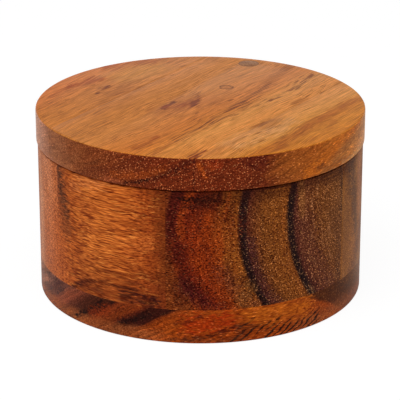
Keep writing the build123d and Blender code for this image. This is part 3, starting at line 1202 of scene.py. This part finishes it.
@dataclass(frozen=True)
class Rod:
    """An upright cylinder between two levels, to model or to cut a hole with."""

    radius: float
    bottom: float
    top: float
    centre: Point = (0, 0)
    sides: int = 64
    turn: float = 0

    def piece(self, name: str) -> Piece:
        """Models it, with its object at the origin.

        Args:
            name: The piece's name.

        Returns:
            The piece.
        """
        fresh()
        bpy.ops.mesh.primitive_cylinder_add(
            vertices=self.sides,
            radius=self.radius,
            depth=self.top - self.bottom,
            location=(*self.centre, (self.bottom + self.top) / 2),
            rotation=(0, 0, math.radians(self.turn)),
        )
        piece = bpy.context.active_object
        piece.name = name
        bpy.ops.object.transform_apply(location=True, rotation=True, scale=True)
        return piece

    def cut(self, piece: Piece) -> None:
        """Cuts its shape out of a piece.

        Args:
            piece: The piece.
        """
        cutter = self.piece("cutter")
        activate(piece)
        cut = piece.modifiers.new("bore", "BOOLEAN")
        cut.operation, cut.solver, cut.object = "DIFFERENCE", "EXACT", cutter
        bpy.ops.object.modifier_apply(modifier=cut.name)
        bpy.data.objects.remove(cutter)


def bevel(size: float, steps: int) -> None:
    """Rounds the open mesh's selected edges."""
    bpy.ops.mesh.bevel(offset=size, segments=steps, profile=0.5, affect="EDGES")


def round_edge(level: float, radius: float, size: float, steps: int = 4, centre: Point = (0, 0)) -> None:
    """Rounds the open mesh's circular edge at a level and radius."""
    pick(Element.EDGES, ring_at(level, radius, centre))
    bevel(size, steps)


def clear(direction: Vector, distance: float, side: str) -> None:
    """Cuts the open mesh by a plane and clears one side, with a flat end face.

    Args:
        direction: The plane's normal.
        distance: How far the plane lies from the origin.
        side: The side that goes, clear_inner or clear_outer.
    """
    bpy.ops.mesh.select_all(action="SELECT")
    cut = {"plane_co": direction * distance, "plane_no": direction, side: True}
    bpy.ops.mesh.bisect(**cut, use_fill=True, threshold=CUT_TOLERANCE)


def copy_of(piece: Piece, name: str) -> Piece:
    """Copies a piece with a mesh of its own.

    Args:
        piece: The piece to copy.
        name: Name of the copy and of its mesh.

    Returns:
        The copy.
    """
    twin = piece.copy()
    twin.data = piece.data.copy()
    twin.name = name
    twin.data.name = name
    return shown(twin)


def spun(name: str, profile: Points, centre: Point, sides: int = 64) -> Piece:
    """Turns an outline about an upright axis.

    Args:
        name: The piece's name.
        profile: Radius and level of each corner, in metres. It starts and ends on the axis or at one corner.
        centre: Where the axis stands.
        sides: Faces round the piece.

    Returns:
        The piece, with its object at the origin.
    """
    corners = [(centre[0] + radius, centre[1], level) for radius, level in profile]
    mesh = bpy.data.meshes.new(name)
    mesh.from_pydata(corners, [(place, place + 1) for place in range(len(corners) - 1)], [])
    piece = shown(bpy.data.objects.new(name, mesh))
    with editing(piece):
        bpy.ops.mesh.select_all(action="SELECT")
        bpy.ops.mesh.spin(steps=sides, angle=math.tau, center=(*centre, 0), axis=(0, 0, 1))
        bpy.ops.mesh.select_all(action="SELECT")
        bpy.ops.mesh.remove_doubles(threshold=WELD)
        bpy.ops.mesh.normals_make_consistent(inside=False)
    return piece


def reshape(piece: Piece, centre: Point, radius_at: Callable[[float, float, float], float]) -> None:
    """Moves a piece's corners in or out from an upright axis.

    Args:
        piece: The piece.
        centre: Where the axis stands.
        radius_at: Gives the new radius from the old radius, the angle and the level.
    """
    for corner in piece.data.vertices:
        x, y = corner.co.x - centre[0], corner.co.y - centre[1]
        radius = math.hypot(x, y)
        if radius > NEAR:
            change = radius_at(radius, math.atan2(y, x), corner.co.z) / radius
            corner.co.x = centre[0] + x * change
            corner.co.y = centre[1] + y * change


def levels_between(bottom: float, top: float, step: float) -> list[float]:
    """Evenly spaced levels from the bottom to the top, both included."""
    count = max(1, round((top - bottom) / step))
    return [bottom + (top - bottom) * place / count for place in range(count + 1)]


def middle_of(node: str) -> Point:
    """Where a CAD node's upright axis stands."""
    low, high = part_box(node)
    return (low.x + high.x) / 2, (low.y + high.y) / 2


def extent_of(node: str) -> tuple[float, float, float]:
    """Outer radius, lowest level and highest level of a round CAD node."""
    low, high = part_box(node)
    return (high.x - low.x) / 2, low.z, high.z


def reach_of(*nodes: str) -> tuple[float, float, float]:
    """Outer radius, lowest level and highest level of several CAD nodes that make a disc together.

    Args:
        nodes: The nodes.

    Returns:
        The three sizes.
    """
    boxes = [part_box(node) for node in nodes]
    left = min(low.x for low, _ in boxes)
    right = max(high.x for _, high in boxes)
    return (right - left) / 2, min(low.z for low, _ in boxes), max(high.z for _, high in boxes)


@dataclass(frozen=True)
class Strip:
    """One glued strip of a layer: the two distances from the axis that bound it, or None for the outside."""

    name: str
    azimuth: float
    inner: float | None
    outer: float | None
    groove: float

    @property
    def node(self) -> str:
        """The CAD node that the strip stands for."""
        return self.name.replace("strip", "board")

    def cut_from(self, layer: Piece) -> Piece:
        """Cuts the strip out of a copy of the whole layer and eases its seam edges.

        Args:
            layer: The whole layer.

        Returns:
            The strip's piece.
        """
        piece = copy_of(layer, self.name)
        direction = Vector((*toward(self.azimuth), 0))
        with editing(piece):
            for distance, side in ((self.inner, "clear_inner"), (self.outer, "clear_outer")):
                if distance is not None:
                    clear(direction, distance, side)
                    pick(Element.EDGES, self._seam_edge(direction, distance))
                    bevel(self.groove, 2)
        return piece

    @staticmethod
    def _seam_edge(direction: Vector, distance: float) -> Callable:
        """Test for the edges round a seam's flat face.

        Args:
            direction: The seam's normal.
            distance: How far the seam lies from the axis.

        Returns:
            The test.
        """

        def on_seam(face: bmesh.types.BMFace) -> bool:
            """True for the seam's own face."""
            flat = abs(face.normal.dot(direction)) > 0.999
            return flat and abs(face.calc_center_median().dot(direction) - distance) < NEAR

        return lambda edge: sum(on_seam(face) for face in edge.link_faces) == 1


def strips(
    layer: str, azimuth: float, places: Sequence[str], seams: Sequence[float], groove: float = 0.1 * MM
) -> list[Strip]:
    """Gives a layer's strips by their places, from the side at the azimuth and between its seams.

    Args:
        layer: The layer's name.
        azimuth: The side that they are counted from.
        places: Each strip's place, as its name says it.
        seams: Distances of the seams from the axis.
        groove: Size of the eased seam edges.

    Returns:
        The strips.
    """
    bounds = (None, *seams, None)
    return [
        Strip(f"{layer}_strip_{place}", azimuth, inner, outer, groove)
        for place, inner, outer in zip(places, bounds[1:], bounds)
    ]


def finish_piece(
    piece: Piece,
    material: Material,
    body: str,
    node: str,
    angle: float = 32,
    side_material: Material | None = None,
) -> None:
    """Gives a piece its finish and ties it to the frame.

    Args:
        piece: The piece.
        material: Its finish.
        body: The CAD body that it moves with.
        node: The CAD node that it stands for.
        angle: Edges sharper than this many degrees stay crisp.
        side_material: A finish of its own for the upright faces, or None.
    """
    activate(piece)
    bpy.ops.object.shade_smooth_by_angle(angle=math.radians(angle))
    piece.data.materials.clear()
    piece.data.materials.append(material)
    if side_material is not None:
        piece.data.materials.append(side_material)
        for face in piece.data.polygons:
            rim = math.hypot(face.center.x, face.center.y) > SIDE_FROM
            face.material_index = int(rim and SIDE_NORMALS[0] < face.normal.z < SIDE_NORMALS[1])
    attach(piece, body)
    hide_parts(node)
    log.info("%s stands for %s and rides on %s", piece.name, node, body)


# Sub-assemblies


@dataclass(frozen=True)
class Thread:
    """A screw thread on the outside of a turned piece."""

    crest: float
    root: float
    pitch: float
    bottom: float
    top: float
    flat: float = 0.2
    shallowest: float = 0.35

    def radius_at(self, radius: float, angle: float, level: float) -> float:
        """Radius of the thread for a corner that lies on the crest, and any other corner's own radius.

        Args:
            radius: The corner's own radius.
            angle: Its angle round the axis.
            level: Its height.

        Returns:
            The new radius.
        """
        if abs(radius - self.crest) > NEAR or not self.bottom < level < self.top:
            return radius
        turn = (level / self.pitch - angle / math.tau) % 1
        rise = min(1, max(0, (abs(2 * turn - 1) - self.flat) / (1 - 2 * self.flat)))
        fade = min(1, (level - self.bottom) / self.pitch, (self.top - level) / self.pitch)
        return self.crest - (self.crest - self.root) * (1 - rise) * max(fade, self.shallowest)


class Edge(Enum):
    """A round edge of a plain ring: whether it lies at the outside, and whether at the top."""

    OUTER_TOP = (1, 1)
    OUTER_BOTTOM = (1, 0)
    BORE_TOP = (0, 1)
    BORE_BOTTOM = (0, 0)


Rounding = tuple[Edge, float, int]  # an edge, its size in millimetres and the steps in it


def turned(name: str, node: str, inner: float, centre: Point, edges: Sequence[Rounding]) -> Piece:
    """Makes a plain ring with rounded edges, or a disc.

    Args:
        name: The piece's name.
        node: The CAD node that it takes its outer radius and its levels from.
        inner: Radius of its bore, or 0 for a disc.
        centre: Where its axis stands.
        edges: Its rounded edges.

    Returns:
        The piece.
    """
    outer, low, high = extent_of(node)
    corners = [(inner, low), (outer, low), (outer, high), (inner, high)]
    piece = spun(name, corners + corners[:1] if inner else corners, centre)
    with editing(piece):
        for edge, size, steps in edges:
            outside, top = edge.value
            round_edge((low, high)[top], (inner, outer)[outside], size * MM, steps, centre)
    return piece


@dataclass
class Pivot:
    """The upright pivot: screw, washers, sleeve and insert in the box, and the lid's plug over them."""

    bore_radius: float = 2 * MM
    spacer_bore: float = 3.1 * MM
    shank_radius: float = 1.95 * MM
    tip_chamfer: float = 0.5 * MM
    head_height: float = 2.8 * MM
    thread_pitch: float = 0.7 * MM
    thread_depth: float = 0.4 * MM
    inner_thread_depth: float = 0.12 * MM
    insert_lead: float = 0.3 * MM
    rib_pitch: float = 1.6 * MM
    rib_depth: float = 0.5 * MM
    hex_corner: float = 2.5 / 2 / math.cos(math.radians(30)) * MM
    hex_depth: float = 1.6 * MM
    hex_turn: float = 30
    knurl_ridges: int = 32
    knurl_depth: float = 0.18 * MM
    steps_in_pitch: int = 8
    thread_angle: float = 28

    def build(self) -> None:
        """Models the pieces from the bottom up and dresses them."""
        centre = middle_of("pivot_screw")
        steel, brass, nylon = (finish.build(centre) for finish in (STEEL, BRASS, NYLON))
        finish_piece(self._insert(centre), brass, "box", "threaded_insert", self.thread_angle)
        finish_piece(self._spacer(centre), nylon, "box", "spacer_washer")
        finish_piece(self._sleeve(centre), brass, "box", "pivot_sleeve")
        finish_piece(self._washer(centre), steel, "box", "head_washer")
        finish_piece(self._screw(centre), steel, "box", "pivot_screw", self.thread_angle)
        finish_piece(self._plug(), PlugWood().build(Board(101, 37)), "lid", "lid_plug")

    def _insert(self, centre: Point) -> Piece:
        """Tube with a coarse outside thread for the wood and a fine one inside for the screw.

        Args:
            centre: Where its axis stands.

        Returns:
            The piece.
        """
        crest, low, high = extent_of("threaded_insert")
        lead = self.insert_lead
        profile = [(self.bore_radius + lead, low)]
        step = self.rib_pitch / self.steps_in_pitch
        profile += [(crest, level) for level in levels_between(low, high, step)]
        profile += [(self.bore_radius + lead, high)]
        for place, level in enumerate(levels_between(low + lead, high - lead, self.thread_pitch / 2)[::-1]):
            profile.append((self.bore_radius + self.inner_thread_depth * (place % 2), level))
        piece = spun("threaded_insert_turned", profile + profile[:1], centre)
        thread = Thread(crest, crest - self.rib_depth, self.rib_pitch, low - MM, high + MM, 0.25)
        reshape(piece, centre, thread.radius_at)
        return piece

    def _spacer(self, centre: Point) -> Piece:
        """Thin washer with soft moulded edges."""
        edges = [(edge, 0.2 if edge.value[0] else 0.12, 3) for edge in Edge]
        return turned("spacer_moulded", "spacer_washer", self.spacer_bore, centre, edges)

    def _sleeve(self, centre: Point) -> Piece:
        """Turned sleeve with chamfered ends and a shallow grease groove.

        Args:
            centre: Where its axis stands.

        Returns:
            The piece.
        """
        outer, low, high = extent_of("pivot_sleeve")
        inner, middle = self.bore_radius, (low + high) / 2
        ease, dip, lip = 0.25 * MM, 0.12 * MM, 0.2 * MM
        profile = [
            (inner + lip, low), (outer - ease, low), (outer, low + ease), (outer, middle - ease),
            (outer - dip, middle - dip), (outer - dip, middle + dip), (outer, middle + ease),
            (outer, high - ease), (outer - ease, high), (inner + lip, high),
            (inner, high - lip), (inner, low + lip), (inner + lip, low),
        ]
        return spun("sleeve_turned", profile, centre)

    def _washer(self, centre: Point) -> Piece:
        """Stamped washer: rounded above and sharper below."""
        edges = ((Edge.OUTER_TOP, 0.15, 3), (Edge.OUTER_BOTTOM, 0.05, 2), (Edge.BORE_TOP, 0.08, 2))
        return turned("washer_stamped", "head_washer", self.bore_radius, centre, edges)

    def _screw(self, centre: Point) -> Piece:
        """Low-head cap screw with a knurled head, a hexagon socket and a thread.

        Args:
            centre: Where its axis stands.

        Returns:
            The piece.
        """
        head, low, high = extent_of("pivot_screw")
        shank, bottom, tip = self.shank_radius, high - self.head_height, self.tip_chamfer
        side = head - WELD  # a hair inside the rounded ends, so that no corners fall together
        profile = [(0, low), (shank - tip, low)]
        step = self.thread_pitch / self.steps_in_pitch
        profile += [(shank, level) for level in levels_between(low + tip, bottom, step)]
        profile += [
            (head - 0.15 * MM, bottom), (head, bottom + 0.15 * MM), (side, bottom + 0.4 * MM),
            (side, high - 0.75 * MM), (head, high - 0.5 * MM), (head - 0.1 * MM, high - 0.2 * MM),
            (head - 0.4 * MM, high), (0, high),
        ]
        piece = spun("screw_turned", profile, centre)
        thread = Thread(shank, shank - self.thread_depth, self.thread_pitch, low, bottom, 0.12)
        reshape(piece, centre, thread.radius_at)

        def knurled(radius: float, angle: float, level: float) -> float:
            """Sets every other corner of the head's side back.

            Args:
                radius: The corner's own radius.
                angle: Its angle round the axis.
                level: Its height.

            Returns:
                The new radius.
            """
            on_side = bottom + 0.3 * MM < level < high - 0.6 * MM and radius >= head - RADIUS_TOLERANCE
            set_back = round(angle / (math.tau / self.knurl_ridges / 2)) % 2
            return radius - self.knurl_depth * set_back if on_side else radius

        reshape(piece, centre, knurled)
        Rod(self.hex_corner, high - self.hex_depth, high + MM, centre, 6, self.hex_turn).cut(piece)
        return piece

    @staticmethod
    def _plug() -> Piece:
        """Wooden plug with a slightly eased rim."""
        edges = ((Edge.OUTER_TOP, 0.06, 3), (Edge.OUTER_BOTTOM, 0.4, 3))
        return turned("plug_turned", "lid_plug", 0, middle_of("lid_plug"), edges)


@dataclass
class Magnets:
    """The two plated disc magnets that hold the lid shut."""

    edges: Sequence[Rounding] = ((Edge.OUTER_BOTTOM, 0.3, 4), (Edge.OUTER_TOP, 0.3, 4))

    def build(self) -> None:
        """Models one magnet, copies it for the other and dresses both."""
        centre = middle_of("box_magnet")
        lower = turned("magnet_in_rim", "box_magnet", 0, centre, self.edges)
        upper = copy_of(lower, "magnet_in_lid")
        lift = extent_of("lid_magnet")[1] - extent_of("box_magnet")[1]
        for corner in upper.data.vertices:
            corner.co.z += lift
        plating = PLATING.build(centre)
        finish_piece(lower, plating, "box", "box_magnet")
        finish_piece(upper, plating, "lid", "lid_magnet")


@dataclass
class Lid:
    """The disc lid: three glued strips."""

    sides: int = 256
    edge_radius: float = 0.7 * MM
    groove: float = 0.04 * MM
    strip_azimuth: float = 57
    right_seam: float = 30.7 * MM
    left_seam: float = -29.4 * MM
    plug_hole: float = 4 * MM
    plug_hole_bottom: float = 61.25 * MM
    sleeve_hole: float = 3.05 * MM
    sleeve_hole_top: float = 62 * MM
    magnet_pocket: float = 4.025 * MM
    pocket_play: float = 0.025 * MM

    def build(self) -> None:
        """Models the strips and dresses them."""
        disc = self._disc()
        board = Board(self.strip_azimuth, 3)
        faces, side = LidFaceWood().build(board), LidSideWood().build(board)
        seams = (self.right_seam, self.left_seam)
        places = ("right", "middle", "left")
        for strip in reversed(strips("lid", self.strip_azimuth, places, seams, self.groove)):
            finish_piece(strip.cut_from(disc), faces, "lid", strip.node, side_material=side)
        bpy.data.objects.remove(disc)

    def _disc(self) -> Piece:
        """Whole lid with its rounded edges, its pivot bore and its magnet's pocket.

        Returns:
            The lid's piece.
        """
        radius, low, high = reach_of("lid_board_left", "lid_board_middle", "lid_board_right")
        disc = Rod(radius, low, high, sides=self.sides).piece("disc")
        with editing(disc):
            round_edge(high, radius, self.edge_radius)
            round_edge(low, radius, self.edge_radius)
        centre = middle_of("lid_plug")
        Rod(self.plug_hole, self.plug_hole_bottom, high + MM, centre).cut(disc)
        with editing(disc):
            round_edge(high, self.plug_hole, self.groove, 2, centre)
        Rod(self.sleeve_hole, low - MM, self.sleeve_hole_top, centre).cut(disc)
        pocket_top = extent_of("lid_magnet")[2] + self.pocket_play
        Rod(self.magnet_pocket, low - MM, pocket_top, middle_of("lid_magnet")).cut(disc)
        return disc


@dataclass
class Box:
    """The bowl: a wall of three glued strips on a base of two."""

    sides: int = 256
    wall_thickness: float = 12 * MM
    floor_thickness: float = 8 * MM
    floor_corner: float = 4.5 * MM
    mouth_edge: float = 0.8 * MM
    rim_edge: float = 0.4 * MM
    foot_edge: float = 0.8 * MM
    wall_azimuth: float = -35
    front_seam: float = 54.6 * MM
    right_seam: float = -3 * MM
    base_azimuth: float = 16
    base_seam: float = 1.5 * MM
    spacer_recess: float = 4.6 * MM
    insert_hole: float = 3.025 * MM
    screw_hole: float = 2 * MM
    screw_hole_depth: float = 1.75 * MM
    magnet_pocket: float = 4.025 * MM
    pocket_play: float = 0.025 * MM
    overlap: float = 0.1 * MM

    def build(self) -> None:
        """Models the whole bowl, then cuts its layers and strips from it."""
        bowl, seam = self._bowl()
        wall = self._layer(bowl, "wall", seam, "clear_inner")
        base = self._layer(bowl, "base", seam, "clear_outer")
        wall_board = Board(self.wall_azimuth + 180, 11)
        places, seams = ("front", "middle", "right"), (self.front_seam, self.right_seam)
        finishes = (OrangeWallWood(), DarkWallWood(), BrownWallWood())
        for strip, finish in zip(strips("wall", self.wall_azimuth, places, seams), finishes):
            finish_piece(strip.cut_from(wall), finish.build(wall_board), "box", strip.node)
        material = BaseWood().build(Board(self.base_azimuth, 23))
        for strip in strips("base", self.base_azimuth, ("front", "back"), (self.base_seam,)):
            finish_piece(strip.cut_from(base), material, "box", strip.node)
        for whole in (bowl, wall, base):
            bpy.data.objects.remove(whole)

    def _bowl(self) -> tuple[Piece, float]:
        """Whole bowl with its rounded edges and its holes, and the level of the seam on its base.

        Returns:
            The bowl's piece and the level.
        """
        _, foot, seam = reach_of("base_board_front", "base_board_back")
        radius, _, rim = reach_of("wall_board_front", "wall_board_middle", "wall_board_right")
        bowl = Rod(radius, foot, rim, sides=self.sides).piece("bowl")
        inner = radius - self.wall_thickness
        with editing(bowl):
            pick(Element.FACES, lambda face: face.normal.z > 0.9)
            bpy.ops.mesh.inset(thickness=self.wall_thickness, use_even_offset=True)
            depth = {"value": (0, 0, self.floor_thickness - rim)}
            bpy.ops.mesh.extrude_region_move(TRANSFORM_OT_translate=depth)
            round_edge(self.floor_thickness, inner, self.floor_corner, 8)
            round_edge(rim, inner, self.mouth_edge, 4)
            round_edge(rim, radius, self.rim_edge, 3)
            round_edge(foot, radius, self.foot_edge, 4)
        _, low, high = extent_of("threaded_insert")
        pivot = middle_of("threaded_insert")
        Rod(self.spacer_recess, high, rim + MM, pivot).cut(bowl)
        Rod(self.insert_hole, low, high + self.overlap, pivot).cut(bowl)
        Rod(self.screw_hole, low - self.screw_hole_depth, low + self.overlap, pivot).cut(bowl)
        pocket_bottom = extent_of("box_magnet")[1] - self.pocket_play
        Rod(self.magnet_pocket, pocket_bottom, rim + MM, middle_of("box_magnet")).cut(bowl)
        return bowl, seam

    @staticmethod
    def _layer(whole: Piece, name: str, level: float, side: str) -> Piece:
        """Cuts the part above or below a level from a copy of the bowl.

        Args:
            whole: The bowl.
            name: The layer's name.
            level: The level of the cut.
            side: The side that goes, clear_inner or clear_outer.

        Returns:
            The layer's piece.
        """
        piece = copy_of(whole, name)
        with editing(piece):
            clear(Vector((0, 0, 1)), level, side)
        return piece


def aimed(data: bpy.types.Light | bpy.types.Camera, place: Vector, direction: Vector) -> Piece:
    """Puts a lamp or camera at a place, so that it faces along a direction.

    Args:
        data: The lamp's or camera's own data.
        place: Where it stands.
        direction: Where it looks.

    Returns:
        The object.
    """
    piece = shown(bpy.data.objects.new(data.name, data))
    piece.location, piece.rotation_euler = place, direction.to_track_quat("-Z", "Y").to_euler()
    return piece


@dataclass
class Studio:
    """White sweep, soft overhead light and the camera."""

    target_height: float = 30 * MM
    distance: float = 794.9 * MM
    pitch: float = 20.713
    focal_pixels: float = 2144
    picture_side: int = 400
    optical_centre: Point = (200.4, 203.8)
    sensor: float = 36
    floor_side: float = 6
    floor_tone: Rgb = (250, 250, 250)
    floor_glow: float = 1.06
    floor_shown: float = 0.86
    floor_mirrored: float = 0.5
    sky: float = 0.43
    lamps: Sequence[tuple[str, Sequence[float], float, float]] = (
        ("key_light", (-0.25, -0.55, 1), 0.9, 6.6),
        ("fill_light", (0.9, -0.6, 0.5), 0.7, 1),
    )

    def build(self) -> None:
        """Adds the floor, the world, the lamps and the camera."""
        self._floor()
        self._world()
        for lamp in self.lamps:
            self._lamp(*lamp)
        self._camera()
        bpy.context.scene.view_settings.view_transform = "Standard"

    def _floor(self) -> None:
        """Adds the pale floor, which shows white but keeps a little of the box's shadow."""
        fresh()
        bpy.ops.mesh.primitive_plane_add(size=self.floor_side)
        floor = bpy.context.active_object
        floor.name = "floor"
        paint = Paint.named("floor_sweep")
        lit = paint.value("BsdfDiffuse", (tone(*self.floor_tone),))
        glow = paint.value("Emission", (WHITE, self.floor_glow))
        camera, glossy = paint.outputs("LightPath", ("Is Camera Ray", "Is Glossy Ray"))
        seen = (camera * self.floor_shown).at_least(glossy * self.floor_mirrored)
        floor.data.materials.append(paint.blend(seen, lit, glow))

    def _world(self) -> None:
        """Gives the world a soft grey light and a white look."""
        world = bpy.data.worlds.new("sweep")
        bpy.context.scene.world = world
        paint = Paint(world)
        rays = ("Is Camera Ray", "Is Glossy Ray", "Is Transmission Ray")
        camera, glossy, through = paint.outputs("LightPath", rays)
        soft, white = (paint.value("Background", (WHITE, strength)) for strength in (self.sky, 1))
        paint.blend(camera.at_least(glossy).at_least(through), soft, white)

    @staticmethod
    def _lamp(name: str, place: Sequence[float], size: float, power: float) -> None:
        """Adds a square soft light that faces the box.

        Args:
            name: The lamp's name.
            place: Where it stands.
            size: Length of its side.
            power: Its power in watts.
        """
        data = bpy.data.lights.new(name, "AREA")
        data.shape, data.size, data.energy = "SQUARE", size, power
        aimed(data, Vector(place), -Vector(place))

    def _camera(self) -> None:
        """Adds the camera in front of the box, looking down a little."""
        data = bpy.data.cameras.new("camera")
        data.sensor_width = self.sensor
        data.lens = self.focal_pixels * self.sensor / self.picture_side
        middle = self.picture_side / 2
        data.shift_x = (middle - self.optical_centre[0]) / self.picture_side
        data.shift_y = (self.optical_centre[1] - middle) / self.picture_side
        tilt = math.radians(self.pitch)
        back = Vector((0, -math.cos(tilt), math.sin(tilt)))
        place = Vector((0, 0, self.target_height)) + back * self.distance
        bpy.context.scene.camera = aimed(data, place, -back)


def main() -> None:
    """Loads the frame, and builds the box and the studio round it."""
    logging.basicConfig(level=logging.INFO, format="%(message)s")
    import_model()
    Studio().build()
    Box().build()
    Lid().build()
    Pivot().build()
    Magnets().build()


if __name__ == "__main__":
    main()
